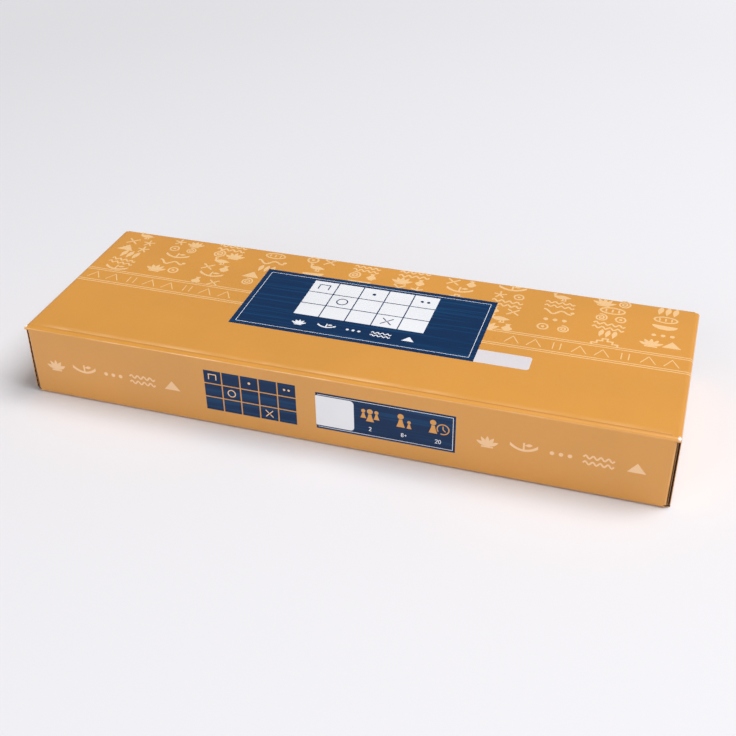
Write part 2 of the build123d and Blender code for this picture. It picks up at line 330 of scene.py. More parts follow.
# ---- materials ------------------------------------------------------------------------------------
class Value:
    """A node's output. Each operator adds a Math node."""

    def __init__(self, finish, socket):
        self.finish, self.socket = finish, socket

    def maths(self, operation, first, second):
        """The result of a Math node on two values."""
        return self.finish.node("ShaderNodeMath", {0: first, 1: second}, operation=operation)

    def __add__(self, other):
        return self.maths("ADD", self, other)

    def __mul__(self, other):
        return self.maths("MULTIPLY", self, other)

    def __sub__(self, other):
        return self.maths("SUBTRACT", self, other)

    def __rsub__(self, other):
        return self.maths("SUBTRACT", other, self)

    __radd__, __rmul__ = __add__, __mul__


def colour(red, green, blue):
    """A colour given in display values of 0 to 255, made linear as shaders take it."""
    channels = np.array([red, green, blue]) / 255
    linear = np.where(channels <= 0.04045, channels / 12.92, ((channels + 0.055) / 1.055) ** 2.4)
    return (*linear.tolist(), 1.0)


SOCKETS = {
    "roughness": "Roughness",
    "coat_roughness": "Coat Roughness",
    "specular_ior_level": "Specular IOR Level",
    "emission_strength": "Emission Strength",
}


class Finish:
    """A material with one Principled shader, whose constants are set on its own sockets."""

    def __init__(self, name, **constants):
        self.material = bpy.data.materials.new(name)
        self.material.use_nodes = True
        self.tree = self.material.node_tree
        self.shader = self.tree.nodes["Principled BSDF"]
        for socket, value in constants.items():
            self.shader.inputs[SOCKETS[socket]].default_value = value

    def node(self, kind, inputs=(), output=0, stops=(), **settings):
        """Adds a node with its settings, a ramp's stops, and the values or links of its sockets."""
        made = self.tree.nodes.new(kind)
        for name, value in settings.items():
            setattr(made, name, value)
        for index, (position, shade) in enumerate(stops):
            ramp = made.color_ramp.elements
            stop = ramp[index] if index < len(ramp) else ramp.new(position)
            stop.position, stop.color = position, shade
        for socket, value in dict(inputs).items():
            self.feed(made.inputs[socket], value)
        return Value(self, made.outputs[output])

    def feed(self, socket, value):
        """Links a socket, or sets it if the value is a constant."""
        if isinstance(value, Value):
            self.tree.links.new(value.socket, socket)
        else:
            socket.default_value = value

    def mix(self, factor, first, second):
        """A colour between two, by a factor."""
        inputs = {0: factor, 6: first, 7: second}
        return self.node("ShaderNodeMix", inputs, output=2, data_type="RGBA")

    def at(self, place, scale):
        """Places scaled by a factor for each axis."""
        inputs = {"Vector": place, "Scale": scale}
        return self.node("ShaderNodeMapping", inputs)

    def rest(self):
        """Places that a piece's points have at rest."""
        return self.node("ShaderNodeAttribute", output="Vector", attribute_name="rest_place")

    def objects(self):
        """Places in the object's own coordinates."""
        return self.node("ShaderNodeTexCoord", output="Object")

    def noise(self, place, scale, detail=3.0):
        """Uneven values about 0.5."""
        inputs = {"Vector": place, "Scale": scale, "Detail": detail}
        return self.node("ShaderNodeTexNoise", inputs)

    def axis(self, place, letter):
        """One coordinate of a place."""
        return self.node("ShaderNodeSeparateXYZ", {0: place}, output=letter)

    def between(self, value, low, high):
        """0 below low, 1 above high, smooth between."""
        inputs = {"Value": value, "From Min": low, "From Max": high}
        return self.node("ShaderNodeMapRange", inputs, interpolation_type="SMOOTHSTEP")

    def bump(self, relief, distance):
        """Relief as bump, its height multiplied by a distance in metres."""
        inputs = {"Height": relief, "Distance": distance}
        self.surface("Normal", self.node("ShaderNodeBump", inputs))

    def surface(self, socket, value):
        """Feeds a socket of the shader."""
        self.feed(self.shader.inputs[socket], value)


def washboard(finish, place, letter):
    """The flutes that show through a liner: a fine sine along one axis."""
    turns = finish.axis(place, letter) * (2 * math.pi / (FLUTE_PITCH * MM))
    return finish.node("ShaderNodeMath", {0: turns}, operation="SINE")


def film_relief(finish, place, letter):
    """Relief of film-laminated print: flutes showing through, soft waves, and the paper's tooth."""
    waves = finish.noise(place, 26.0, 2.0)
    tooth = finish.noise(place, 900.0, 2.0)
    return washboard(finish, place, letter) * 0.0000025 + waves * 0.0006 + tooth * 0.000006


def printed_finish(name, ink, letter, with_wear_and_painted_light=True):
    """Film-laminated print on board: an even ink with slight clouds, a satin film, pale wear and painted
    highlight on folds, painted shade in the second crease, and worn corners.
    """
    finish = Finish(name, coat_roughness=0.32)
    place = finish.rest()
    clouds = finish.noise(place, 14.0)
    darker = tuple(0.94 * channel for channel in ink[:3]) + (1.0,)
    shade = finish.mix(finish.between(clouds, 0.35, 0.65), darker, ink)
    grain = finish.noise(place, 420.0, 2.0)
    shade = finish.mix(grain * 0.03, shade, PAPER_WHITE)
    if with_wear_and_painted_light:
        # pale line on the folds: part wear, part painted highlight, stronger towards the left
        bend = finish.node("ShaderNodeAttribute", output="Fac", attribute_name="bend")
        patchy_wear_and_highlight = finish.between(finish.noise(finish.at(place, (30.0, 90.0, 90.0)), 1.0), 0.34, 0.56)
        fold_line_strength = finish.between(finish.axis(place, "X"), 0.09, 0.02) * 0.7 + 0.3
        shade = finish.mix(bend * fold_line_strength * (patchy_wear_and_highlight * 0.75 + 0.2), shade, WORN_AND_HIGHLIGHT_PRINT)
        # painted shade: the second crease's groove is darkened
        crease = finish.node("ShaderNodeAttribute", output="Fac", attribute_name="crease")
        shade = finish.mix(crease * 0.85, shade, CREASE_PAINTED_SHADE)
        for corner, reach in WORN_CORNERS:
            ends = {0: place, 1: corner}
            gap = finish.node("ShaderNodeVectorMath", ends, output="Value", operation="DISTANCE")
            ragged = gap + (finish.noise(place, 1400.0) - 0.5) * 0.0022
            shade = finish.mix(1 - finish.between(ragged, 0.6 * reach, reach), shade, PAPER_WHITE)
    finish.surface("Base Color", shade)
    finish.surface("Roughness", finish.noise(place, 60.0) * 0.12 + 0.36)
    finish.surface("Coat Weight", finish.noise(place, 35.0) * 0.2 + 0.7)
    finish.bump(film_relief(finish, place, letter), 1.0)
    return finish


def navy_finish():
    """Navy print with fine, uneven, lighter lines along the carton."""
    finish = Finish("navy_print", coat_roughness=0.3, specular_ior_level=0.2)
    place = finish.rest()
    lines = finish.noise(finish.at(place, (18.0, 620.0, 620.0)), 1.0, 1.0)
    shade = finish.mix(finish.between(lines, 0.48, 0.7) * 0.75, NAVY, NAVY_LINES)
    finish.surface("Base Color", shade)
    finish.surface("Roughness", finish.noise(place, 60.0) * 0.12 + 0.34)
    finish.surface("Coat Weight", finish.noise(place, 35.0) * 0.08 + 0.06)
    finish.bump(film_relief(finish, place, "X"), 1.0)
    return finish


def kraft_finish(name, shade, dark):
    """Brown paper: clouds, pale and dark fibres, dull and a little rough."""
    finish = Finish(name)
    place = finish.rest()
    clouds = finish.noise(place, 30.0)
    fibres = finish.noise(finish.at(place, (300.0, 1500.0, 1500.0)), 1.0, 4.0)
    brown = finish.mix(clouds, dark, shade)
    finish.surface("Base Color", finish.mix(finish.between(fibres, 0.55, 0.8) * 0.35, brown, KRAFT_FIBRE))
    finish.surface("Roughness", fibres * 0.15 + 0.75)
    finish.bump(fibres, 0.00002)
    return finish


def wood_finish(name, pale, dark, grain, roughness):
    """Wood: growth bands from noise stretched along the grain, darker pores, and an oiled surface."""
    finish = Finish(name)
    place = finish.objects()
    bands = finish.noise(finish.at(place, grain), 1.0, 4.0)
    fine = finish.noise(finish.at(place, tuple(6 * value for value in grain)), 1.0, 2.0)
    shade = finish.mix(finish.between(bands, 0.3, 0.7), dark, pale)
    pore = finish.between(fine, 0.58, 0.75) * 0.5
    finish.surface("Base Color", finish.mix(pore, shade, dark))
    finish.surface("Roughness", bands * 0.2 + roughness)
    finish.bump(1 - pore, 0.00004)
    return finish


def leaflet_finish():
    """Uncoated paper of a folded leaflet: warm white with faint fibres."""
    finish = Finish("leaflet_paper")
    place = finish.objects()
    fibres = finish.noise(place, 700.0, 4.0)
    finish.surface("Base Color", finish.mix(fibres * 0.5, LEAFLET_PAPER, PAPER_WHITE))
    finish.surface("Roughness", fibres * 0.2 + 0.7)
    finish.bump(fibres, 0.00001)
    return finish


ORANGE = colour(222, 152, 50)
PALE_INK = colour(246, 200, 140)
# the pale ink made brighter on the front, as painted light against the front's lesser light
PALE_FRONT_PAINTED_LIGHT = colour(252, 204, 150)
NAVY = colour(0, 42, 82)
NAVY_LINES = colour(6, 64, 108)
WHITE = colour(242, 243, 248)
LABEL = colour(226, 220, 224)
PAPER_WHITE = colour(244, 240, 234)
# pale print on folds and behind the second crease: part wear, part painted highlight
WORN_AND_HIGHLIGHT_PRINT = colour(255, 206, 148)
# painted shade in the second crease's groove
CREASE_PAINTED_SHADE = colour(138, 70, 34)
LEAFLET_PAPER = colour(232, 228, 216)
KRAFT = colour(174, 134, 96)
KRAFT_DARK = colour(148, 110, 76)
KRAFT_FIBRE = colour(196, 156, 112)
WALNUT = colour(124, 82, 50)
WALNUT_DARK = colour(88, 56, 34)
DECK = colour(170, 122, 76)
DECK_DARK = colour(128, 84, 48)
EBONY = colour(72, 46, 32)
EBONY_DARK = colour(38, 24, 18)
MAPLE = colour(212, 178, 130)
MAPLE_DARK = colour(184, 146, 98)
STICK = colour(206, 170, 120)
STICK_DARK = colour(172, 132, 86)
# the fluting's brown, darkened as painted shade of the hollow flutes at raw edges
FLUTE_BROWN_AND_SHADE = colour(96, 62, 40)
FLUTE_DARK_AND_SHADE = colour(62, 38, 24)
# where the print is worn through to the paper: a place and its radius, in m
corner = np.array([half_length - 0.6, -half_width + 1.7, height - 0.2]) * MM
WORN_CORNERS = [(tuple(corner), 0.0018), (tuple(corner * (-1, 1, 1)), 0.0013)]

sleeve_print = printed_finish("orange_print_sleeve", ORANGE, "X")
closure_print = printed_finish("orange_print_closure", ORANGE, "Z")
dust_print = printed_finish("orange_print_dust", ORANGE, "Y")
pale_ink = printed_finish("pale_ink", PALE_INK, "X", with_wear_and_painted_light=False)
pale_front_ink_painted_light = printed_finish("pale_front_ink_painted_light", PALE_FRONT_PAINTED_LIGHT, "X", with_wear_and_painted_light=False)
white_ink = printed_finish("white_ink", WHITE, "X", with_wear_and_painted_light=False)
navy_ink = navy_finish()
kraft = kraft_finish("kraft_liner", KRAFT, KRAFT_DARK)
# brown paper darkened with painted shade of the flute hollows
fluting = kraft_finish("kraft_fluting_and_painted_shade", FLUTE_BROWN_AND_SHADE, FLUTE_DARK_AND_SHADE)
label_print = printed_finish("label_print", LABEL, "X", with_wear_and_painted_light=False)

wood = {
    "case_wood": wood_finish("walnut_case", WALNUT, WALNUT_DARK, (9, 130, 130), 0.42),
    "deck_wood": wood_finish("oiled_deck", DECK, DECK_DARK, (9, 150, 150), 0.4),
    "dark_piece": wood_finish("dark_turned_wood", EBONY, EBONY_DARK, (220, 220, 40), 0.3),
    "pale_piece": wood_finish("pale_turned_wood", MAPLE, MAPLE_DARK, (220, 220, 40), 0.32),
    "stick_wood": wood_finish("pale_stick_wood", STICK, STICK_DARK, (14, 240, 240), 0.38),
    "paper": leaflet_finish(),
}
walnut_across = wood_finish("walnut_ends", WALNUT, WALNUT_DARK, (130, 9, 130), 0.42)
ACROSS = ("case_end_wall", "drawer_front", "drawer_end")  # their grain runs from front to back
for subpart in frame["record"]["subparts"]:
    finish = walnut_across if subpart["node"] in ACROSS else wood.get(subpart["material_slot"])
    if finish:
        node = frame["nodes"][subpart["node"]]
        node.data.materials.clear()
        node.data.materials.append(finish.material)

# ---- the carton's board ---------------------------------------------------------------------------
LINING_DEPTH = board - LINER
dust_low, dust_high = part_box("right_front_dust_flap")
dust_face = dust_high.x / MM
side_end = dust_face - DUST_RADIUS - SEAM
end_along, end_down = fold_reach(GENTLE, TIGHT)


def sheet(strip, low, high, count, depth, thickness):
    """A flat sheet of a strip's board, from one depth to another."""
    across = strip.across(low, high, count)
    return shell(strip.grid(across, depth), strip.grid(across, depth + thickness))


def wavy_sheet(strip, low, high, count, wave):
    """The fluting: its middle lies at depth d + a sin(2 pi s / pitch), where s runs along or across."""
    across = strip.across(low, high, count)
    place = across if wave == "across" else np.broadcast_to(strip.run[:, None], across.shape)
    top, foot = FACE_DEPTH + LINER, LINING_DEPTH
    swing = (foot - top - FLUTING) / 2
    middle = (top + foot) / 2 + swing * np.sin(2 * math.pi * place / FLUTE_PITCH)
    return shell(strip.grid(across, middle - FLUTING / 2), strip.grid(across, middle + FLUTING / 2))


def three_sheets(strip, low, high, count):
    """The printed liner, the fluting and the inner liner of a flap, with finishes 0 to 2."""
    printed_liner = sheet(strip, low, high, count, FACE_DEPTH, LINER)
    lining = sheet(strip, low, high, count, LINING_DEPTH, LINER)
    waves = wavy_sheet(strip, low, high, count, "along")
    shells = [(*printed_liner, 0), (*waves, 1), (*lining, 2)]
    return shells, np.repeat(strip.bend, count)


def sleeve_strip(pitch, fold_stations, crease_stations):
    """Glue flap, bottom, front, top and back, as one strip that goes round the carton, and its ends."""
    down, along = fold_reach(TIGHT, GENTLE)
    crease = CREASE_PLACE - along + np.linspace(-3, 3, crease_stations) * CREASE_WIDTH
    fold = (90, SLEEVE_RADIUS)
    steps = [
        flat(GLUE_FLAP_HEIGHT - SLEEVE_RADIUS, pitch),
        fold,
        flat(2 * half_width - board - 2 * SLEEVE_RADIUS, pitch),
        fold,
        flat(height - SLEEVE_RADIUS - down, pitch),
        TIGHT,
        GENTLE,
        flat(2 * half_width - SLEEVE_RADIUS - along, pitch, extra=crease[crease > FADE]),
        fold,
        flat(height - SLEEVE_RADIUS, pitch),
    ]
    strip = Strip((half_width - board, GLUE_FLAP_HEIGHT), -90, steps, (Y, Z, X), fold_stations)
    glue_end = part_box("glue_flap")[1].x / MM
    corner_x = half_length - end_along
    ends = [glue_end, glue_end, half_length, 0, side_end, 0, 0, corner_x - SEAM, corner_x, side_end]
    ends = np.array(ends)[strip.step]
    upwards = strip.outs[:, 1]
    lower_corner = dust_face - DUST_RADIUS * (1 + upwards)
    fade_start, fade_end = EAR_FADE
    ear = corner_x + EAR * np.clip((fade_end - upwards) / (fade_end - fade_start), 0, 1)
    ends = np.where(strip.step == 3, lower_corner, ends)
    ends = np.where((strip.step == 5) | (strip.step == 6), ear, ends)
    return strip, ends - np.clip(GLUE_FLAP_BEVEL - strip.run, 0, None)


def hang(piece, parent, child, start, end):
    """Bakes a flap's board's transform into its mesh; the board is not bent and not attached to a body.
    """
    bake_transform(piece)


def build_sleeve():
    """The sleeve's three sheets, of which the fluting has a coarser section."""
    strip, ends = sleeve_strip(PANEL_PITCH, FOLD_STATIONS, CREASE_STATIONS)
    count = round(2 * half_length / PANEL_PITCH)
    printed_liner = [(*sheet(strip, -ends, ends, count, FACE_DEPTH, LINER), 0)]
    lining = sheet(strip, -ends, ends, count, LINING_DEPTH, LINER)
    coarse, coarse_ends = sleeve_strip(COARSE_PITCH, COARSE_FOLD_STATIONS, COARSE_CREASE_STATIONS)
    wave_count = round(2 * half_length / FLUTE_PITCH * WAVE_STATIONS)
    waves = wavy_sheet(coarse, -coarse_ends, coarse_ends, wave_count, "across")
    bends = np.repeat(strip.bend, count)
    liner_piece = make_piece("sleeve_printed_liner", [sleeve_print], printed_liner, bends)
    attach(liner_piece, "carton")
    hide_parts("top_panel", "front_panel", "bottom_panel", "back_panel", "glue_flap")
    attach(make_piece("sleeve_fluting", [fluting], [(*waves, 0)]), "carton")
    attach(make_piece("sleeve_lining", [kraft], [(*lining, 0)]), "carton")


build_sleeve()

closure_foot = board + 2 * SLIP
tuck_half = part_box("right_tuck_flap")[1].y / MM
tuck_centre = board + SLIP + TUCK_RADIUS
tuck_seam = tuck_centre + SEAM


def closure_strip(side, foot=tuck_seam):
    """From the top panel over the end fold and down the end."""
    steps = [flat(SEAM), GENTLE, TIGHT, flat(height - end_down - foot, FLAP_PITCH)]
    return Strip((half_length - end_along - SEAM, height), 0, steps, (side * X, Z, Y))


def closure_fold(side):
    """Where the fold that a closure turns about starts and ends."""
    return (side * (half_length - end_along), 0, height), (side * half_length, 0, height - end_down)


def closure_board(side):
    """A closure: narrow at its fold, wider towards its foot, with a shoulder beside the tuck flap."""
    strip = closure_strip(side)
    half = CLOSURE_HALF + CLOSURE_SPREAD * smooth(1 - strip.places[:, 1] / height)
    shells, bends = three_sheets(strip, -half, half, FLAP_COLUMNS)
    for hand in (-1, 1):
        steps = [flat(tuck_seam - closure_foot, FLAP_PITCH)]
        shoulder = Strip((half_length, tuck_seam), -90, steps, (side * X, Z, hand * Y))
        shells += three_sheets(shoulder, tuck_half + SHOULDER_GAP, half[-1], SHOULDER_COLUMNS)[0]
    return shells, bends


def tuck_board(side):
    """A tuck flap: round the lower fold and into the carton, rising, with rounded corners.

    Returns also where its fold ends.
    """
    lean = math.radians(TUCK_LEAN)
    reach = half_length - TUCK_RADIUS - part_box("right_tuck_flap")[0].x / MM
    run = (reach - TUCK_RADIUS * math.sin(lean)) / math.cos(lean)
    steps = [flat(SEAM), (90 + TUCK_LEAN, TUCK_RADIUS), flat(run, FLAP_PITCH)]
    strip = Strip((half_length, tuck_seam), -90, steps, (side * X, Z, Y))
    half = tuck_half - rounded(strip.before_end(), TUCK_CORNER)
    return three_sheets(strip, -half, half, FLAP_COLUMNS), strip.places[strip.step == 1][-1]


def dust_board(side, hand):
    """A dust flap: round the end fold, behind the closure, with a sloping top and a step below."""
    run = half_width - DUST_RADIUS - abs(dust_high.y) / MM
    steps = [flat(SEAM), (90, DUST_RADIUS), flat(run, FLAP_PITCH)]
    strip = Strip((side_end, half_width), 0, steps, (side * X, hand * Y, Z))
    past = np.clip(strip.run - strip.run[strip.step == 1][-1], 0, None)
    corner = rounded(strip.before_end(), DUST_CORNER)
    turned = np.degrees(np.arctan2(strip.outs[:, 0], strip.outs[:, 1]))
    flap = smooth((turned - 30) / 30)  # from the sleeve's height to the flap's over 30 degrees
    root_top, root_foot = height - fold_reach(TIGHT, GENTLE)[0], SLEEVE_RADIUS
    top = root_top - flap * (root_top - dust_high.z / MM) - DUST_SLOPE * past - corner
    foot = root_foot + flap * (dust_low.z / MM - root_foot)
    foot = foot + DUST_RISE * np.clip(past / DUST_STEP, 0, 1) + corner
    return three_sheets(strip, foot, top, DUST_COLUMNS)


def flap_piece(name, finish, shells, bends, parent, start, end):
    """A flap's board as it rests, in place of the flap's solid, which is hidden."""
    piece = make_piece(f"{name}_board", [finish, fluting, kraft], shells, bends)
    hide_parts(name)
    hang(piece, parent, name, start, end)


def build_end(side, name):
    """A closure, its tuck flap, and the two dust flaps behind it."""
    flap_piece(f"{name}_closure", closure_print, *closure_board(side), "carton", *closure_fold(side))
    tuck, (fold_x, fold_z) = tuck_board(side)
    fold = (side * half_length, 0, tuck_centre), (side * fold_x, 0, fold_z)
    flap_piece(f"{name}_tuck_flap", closure_print, *tuck, f"{name}_closure", *fold)
    for hand, where in ((-1, "front"), (1, "back")):
        fold_start = side * (dust_face - DUST_RADIUS), hand * half_width, 0
        fold = fold_start, (side * dust_face, hand * (half_width - DUST_RADIUS), 0)
        flap_piece(f"{name}_{where}_dust_flap", dust_print, *dust_board(side, hand), "carton", *fold)


ENDS = ((1, "right"), (-1, "left"))
for side, name in ENDS:
    build_end(side, name)

# ---- drawing --------------------------------------------------------------------------------------
LINE_PITCH = 4.0
POINT_GAP = 0.3  # an added point lies at least this far from a drawn one
MITRE = 0.6  # the least cosine that a mitre is worked out for
PEN = 0.95


def dense(points, closed=False):
    """A drawn line with more points on its long stretches, at even distances."""
    points = np.asarray(points, float)
    if closed:
        points = np.vstack([points, points[:1]])
    run = np.concatenate([[0.0], np.cumsum(np.linalg.norm(np.diff(points, axis=0), axis=1))])
    even = np.linspace(0, run[-1], max(2, round(run[-1] / LINE_PITCH)) + 1)
    apart = np.abs(even[:, None] - run).min(axis=1) > POINT_GAP
    stations = np.sort(np.concatenate([run, even[apart]]))
    line = np.stack([np.interp(stations, run, points[:, i]) for i in (0, 1)], axis=-1)
    return line[:-1] if closed else line


def stroke(points, width, closed=False):
    """A pen stroke: two edges half a width to each side of a line, mitred where it turns."""
    line = dense(points, closed)
    ahead = np.roll(line, -1, axis=0) - line
    if not closed:
        ahead[-1] = ahead[-2]
    ahead /= np.linalg.norm(ahead, axis=1, keepdims=True)
    behind = np.roll(ahead, 1, axis=0)
    if not closed:
        behind[0] = ahead[0]
    along = ahead + behind
    along /= np.linalg.norm(along, axis=1, keepdims=True)
    reach = width / 2 / np.clip((along * ahead).sum(axis=1), MITRE, 1)
    square = np.stack([-along[:, 1], along[:, 0]], axis=-1) * reach[:, None]
    return np.stack([line - square, line + square], axis=1), closed


def fill(x, low, high, across=2):
    """An area between a lower and an upper curve over x."""
    x = np.asarray(x, float)
    low, high = np.broadcast_to(low, x.shape), np.broadcast_to(high, x.shape)
    y = low[:, None] + (high - low)[:, None] * np.linspace(0, 1, across)
    return np.stack([np.broadcast_to(x[:, None], y.shape), y], axis=-1), False


def panel(left, right, low, high, left_corner=0.0, right_corner=0.0):
    """A rectangle, with rounded corners at either side if asked."""
    ends = np.array([0, 0.04, 0.15, 0.35, 0.65, 1.0])
    x = np.concatenate([
        left + ends * left_corner,
        np.linspace(left, right, max(2, round((right - left) / LINE_PITCH)) + 1),
        right - ends * right_corner,
    ])
    x = np.unique(x.round(4))
    inset = rounded(x - left, left_corner) if left_corner else 0 * x
    inset = inset + (rounded(right - x, right_corner) if right_corner else 0)
    return fill(x, low + inset, high - inset, max(2, round((high - low) / LINE_PITCH) + 1))


def span(width, count):
    """Even places across a width."""
    return np.linspace(-width / 2, width / 2, count)


def round_span(radius, count=13):
    """Places across a disc, closer together towards its edge."""
    return -radius * np.cos(np.linspace(0.12, math.pi - 0.12, count))


def disc(radius, x=0.0, y=0.0):
    """A round dot: its half height is sqrt(r^2 - x^2)."""
    across = round_span(radius)
    rise = np.sqrt(radius**2 - across**2)
    return fill(across + x, y - rise, y + rise)


def ring(radius, width, x=0.0, y=0.0, stretch=1.0):
    """A drawn circle, or an oval if it is stretched sideways."""
    turn = np.linspace(0, 2 * math.pi, 25)[:-1]
    return stroke(unit(turn) * (radius * stretch, radius) + (x, y), width, closed=True)


def rotation(angle):
    """Matrix that turns places by an angle in degrees."""
    turn = math.radians(angle)
    return np.array([[math.cos(turn), math.sin(turn)], [-math.sin(turn), math.cos(turn)]])


def leaf(length, width, x=0.0, y=0.0, angle=0.0):
    """A pointed leaf from its foot at x, y: its half width is a sine of the way along."""
    along = np.linspace(0.03, 0.97, 11)
    spread = np.maximum(0.12, width / 2 * np.sin(math.pi * along**1.15))
    grid, closed = fill(along * length, -spread, spread)
    return grid @ rotation(angle) + (x, y), closed


def sun():
    return [ring(2.6, PEN), disc(0.9)]


def ripples():
    x = span(15, 31)
    return [stroke(np.stack([x, y + 0.9 * np.sin(x * 1.7)], axis=-1), PEN) for y in (-2.0, 1.6)]


def pyramid():
    x = span(9, 11)
    return [fill(x, -2.8 + 0 * x, -2.6 + 5.6 * (1 - np.abs(x) / 4.5))]


def stairs():
    left = [(-6, -3), (-6, -1), (-3.6, -1), (-3.6, 1), (-1.2, 1), (-1.2, 3)]
    right = [(-x, y) for x, y in left[::-1]]
    return [stroke(left + right, PEN)]


def lotus():
    petals = [leaf(6.4, 2.0, 0, -3, 90 + turn) for turn in (-62, -31, 0, 31, 62)]
    return petals + [stroke([(-3, -3.4), (3, -3.4)], PEN)]


def reed():
    return [leaf(7.5, 2.6, x, -3.2, 84) for x in (-3.4, 0, 3.4)]


def boat():
    x = span(14, 15)
    bow = (x / 7) ** 2
    hull = fill(x, -2.2 + 2.6 * bow, -0.9 + 3.3 * bow)
    return [hull, stroke([(0, -1), (0, 3.2)], PEN), leaf(4, 1.8, 0.4, 1.6, 10)]


def basket():
    x = round_span(6)
    return [fill(x, 1.8 - 0.62 * np.sqrt(36 - x * x), 1.8 + 0 * x)]


def dots():
    return [disc(1.15, x) for x in (-4.4, 0, 4.4)]


def bars():
    return [stroke([(x, -2.6), (x, 2.6)], 1.2) for x in (-4.2, 0, 4.2)]


def star():
    return [stroke([(0, 0), tuple(3.5 * unit(math.radians(90 + 72 * turn)))], PEN) for turn in range(5)]


def spiral():
    turn = np.linspace(0.6, 4.6 * math.pi, 40)
    return [stroke(unit(turn) * (0.24 * turn[:, None]), 0.85)]


def oval():
    marks = [stroke([(x, -1.3), (x, 1.3)], 0.8) for x in (-3, 0, 3)]
    return [ring(2.7, PEN, stretch=2.1)] + marks


def vase():
    y = np.linspace(-3.2, 3.2, 15)
    width = 0.8 + 1.9 * np.exp(-(((y + 0.8) / 1.5) ** 2)) + 0.7 * smooth((y - 2.2) / 0.8)
    grid, closed = fill(y, -width, width)
    return [(grid[..., ::-1], closed)]


def duck():
    body = leaf(9, 3.6, 4.6, -0.4, 176)
    neck = stroke([(-2.8, 0.2), (-4.0, 1.6), (-3.4, 3.0), (-4.8, 3.0)], 1.0)
    legs = [stroke([(x, -1.4), (x + 0.3, -3.2), (x - 0.7, -3.2)], 0.7) for x in (0.2, 1.6)]
    return [body, neck] + legs


def snake():
    x = span(14, 29)
    body = np.stack([x, 1.5 * np.sin(x * 0.75) * (1 - 0.4 * x / 7)], axis=-1)
    return [stroke(body, 1.1), disc(1.0, 7.2, 0.6)]


def crossing():
    lines = [(-3, -2.6), (3, 2.6)], [(-3, 2.6), (-0.6, 0.5)], [(0.6, -0.5), (3, -2.6)]
    return [stroke(line, PEN) for line in lines]


def moved(drawing, x, y, size=1.0, angle=0.0):
    """A drawing at another place, size and tilt."""
    return [(grid @ (size * rotation(angle)) + (x, y), closed) for grid, closed in drawing]


def on_top(grid, depth):
    """A drawing on the carton's top, as x and y."""
    level = np.full(grid.shape[:2], height - depth)
    return settled(np.stack([grid[..., 0], grid[..., 1], level], axis=-1))


def on_front(grid, depth):
    """A drawing on the carton's front, as x and z."""
    face = np.full(grid.shape[:2], -half_width + depth)
    return settled(np.stack([grid[..., 0], face, grid[..., 1]], axis=-1))


def print_ink(name, finish, drawing, where, layer=0):
    """Ink plates on a panel. Each layer of ink lies a little over the one below."""
    shells = []
    for index, (grid, closed) in enumerate(drawing):
        lift = layer * LAYER_LIFT + index % STROKE_LEVELS * STROKE_LIFT
        shells.append((*shell(where(grid, INK_DEPTH - lift), where(grid, INK_BACK - lift), closed), 0))
    piece = make_piece(name, [finish], shells)
    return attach(piece, "carton")


# ---- print on the top -----------------------------------------------------------------------------
NAVY_LEFT, NAVY_RIGHT, NAVY_LOW, NAVY_HIGH = -73.2, 70.5, -24.3, 39.7
INSET = 3.2
BAND_LOW, BAND_HIGH = -3.2, 10.4
BAND_GAP = 1.8
BAND_LINE = 0.65
BAND_PEN = 0.6
BORDER_PEN = 0.32
print_end = half_length - end_along - SEAM

SIGN_COLUMNS = np.linspace(-166, 166, 12)
SIGN_ROWS = 6
FIRST_ROW = 57.6
ROW_PITCH = 8.6
STAGGER = 1.6  # every second column starts this much lower
PAIR_SHIFT = 5.6  # two narrow motifs lie this far to each side


def frame_line(left, right, low, high, width):
    """A drawn rectangle."""
    return stroke([(left, low), (right, low), (right, high), (left, high)], width, closed=True)


def ornaments():
    """Columns of small signs over the back of the top, each column in its own order."""
    motifs = [lotus, ripples, sun, duck, bars, oval, pyramid, snake, reed, dots, boat, spiral, star, vase]
    motifs += [stairs, basket, crossing]
    narrow = [crossing, lotus, pyramid, spiral, star, sun, vase]
    chance = np.random.default_rng(7)
    drawing = []
    for column, x in enumerate(SIGN_COLUMNS):
        y = FIRST_ROW - STAGGER * (column % 2)
        order = chance.permutation(len(motifs))
        for row in range(SIGN_ROWS):
            motif = motifs[order[row]]
            covered = NAVY_LEFT + 8 < x < NAVY_RIGHT - 8 and y < NAVY_HIGH - 5
            if not covered and y > BAND_HIGH + 4:
                tilt, size = chance.normal(0, 2.5), chance.uniform(1.08, 1.26)
                shift = PAIR_SHIFT if motif in narrow else 0
                drawing += moved(motif(), x - shift, y, size, tilt)
                if motif in narrow:
                    others = [other for other in narrow if other is not motif]
                    partner = others[chance.integers(len(others))]
                    drawing += moved(partner(), x + shift, y, size * 0.95, -tilt)
            y -= ROW_PITCH
    return drawing


def band():
    """Two double lines along the carton, with small chevrons and ticks between them."""
    drawing = []
    for left, right in ((-print_end, NAVY_LEFT), (NAVY_RIGHT, print_end)):
        for y in (BAND_LOW, BAND_HIGH):
            for shift in (-BAND_GAP / 2, BAND_GAP / 2):
                drawing.append(panel(left, right, y + shift - BAND_LINE / 2, y + shift + BAND_LINE / 2))
    middle = (BAND_LOW + BAND_HIGH) / 2
    for index, x in enumerate(np.arange(-174, 178, 12.4)):
        if NAVY_LEFT - 6 < x < NAVY_RIGHT + 6:
            continue
        if index % 3 == 2:
            for tick in (x - 2, x + 2):
                drawing.append(stroke([(tick, middle - 3.2), (tick, middle + 3.2)], BAND_PEN))
        else:
            chevron = [(x - 4, middle - 3.4), (x, middle + 3.4), (x + 4, middle - 3.4)]
            drawing.append(stroke(chevron, BAND_PEN))
    return drawing


